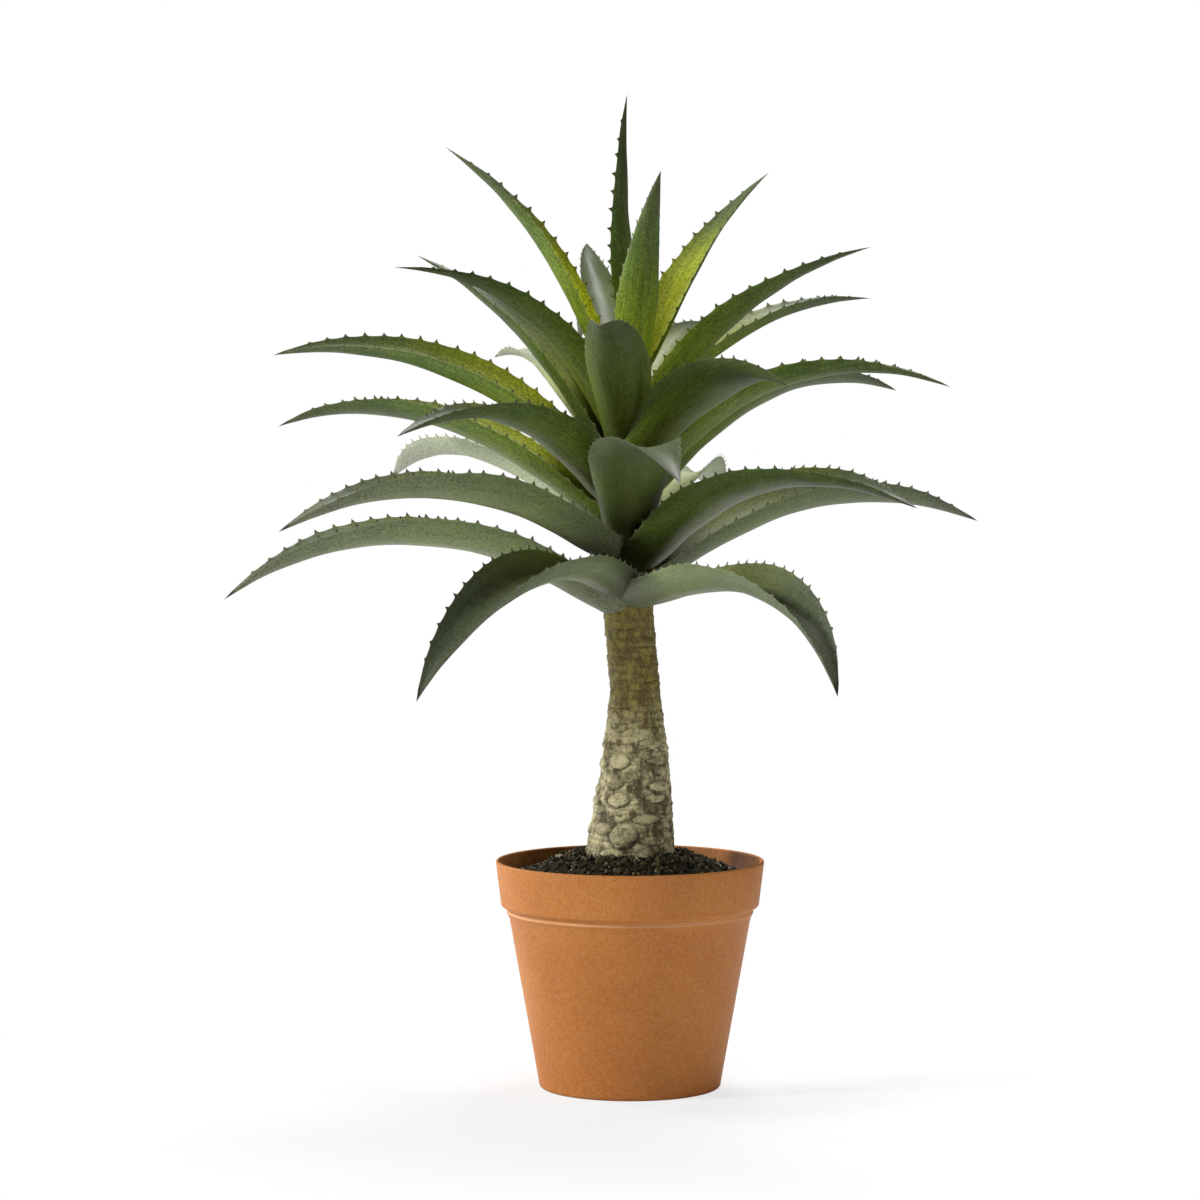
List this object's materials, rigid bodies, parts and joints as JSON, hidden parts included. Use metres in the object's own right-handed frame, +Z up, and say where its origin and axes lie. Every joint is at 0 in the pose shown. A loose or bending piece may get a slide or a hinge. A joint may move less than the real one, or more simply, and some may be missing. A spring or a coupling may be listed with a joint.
{
  "type": "potted agave",
  "caption": "Trunked agave with a tiered rosette of arching, toothed, channelled leaves, standing in a tapered round pot with a rim band and dark potting soil.",
  "frame": {"origin": "centre of the pot's flat underside, on the pot's axis", "axes": "+Z up along the pot's axis, -Y towards the viewer of the front, +X to the viewer's right"},
  "size_m": [0.4541, 0.4924, 0.5941],
  "materials": {
    "terracotta_plastic": "matte",
    "potting_soil": "matte",
    "trunk_bark": "matte",
    "agave_leaf": "satin"
  },
  "bodies": {
    "root": {"pot": "terracotta_plastic", "soil": "potting_soil", "trunk": "trunk_bark", "leaf_01": "agave_leaf", "leaf_02": "agave_leaf", "leaf_03": "agave_leaf", "leaf_04": "agave_leaf", "leaf_05": "agave_leaf", "leaf_06": "agave_leaf", "leaf_07": "agave_leaf", "leaf_08": "agave_leaf", "leaf_09": "agave_leaf", "leaf_10": "agave_leaf", "leaf_11": "agave_leaf", "leaf_12": "agave_leaf", "leaf_13": "agave_leaf", "leaf_14": "agave_leaf", "leaf_15": "agave_leaf", "leaf_16": "agave_leaf", "leaf_17": "agave_leaf", "leaf_18": "agave_leaf", "leaf_19": "agave_leaf", "leaf_20": "agave_leaf", "leaf_21": "agave_leaf", "leaf_22": "agave_leaf", "leaf_23": "agave_leaf", "leaf_24": "agave_leaf", "leaf_25": "agave_leaf", "leaf_26": "agave_leaf", "leaf_27": "agave_leaf", "leaf_28": "agave_leaf", "leaf_29": "agave_leaf", "leaf_30": "agave_leaf"}
  },
  "joints": []
}
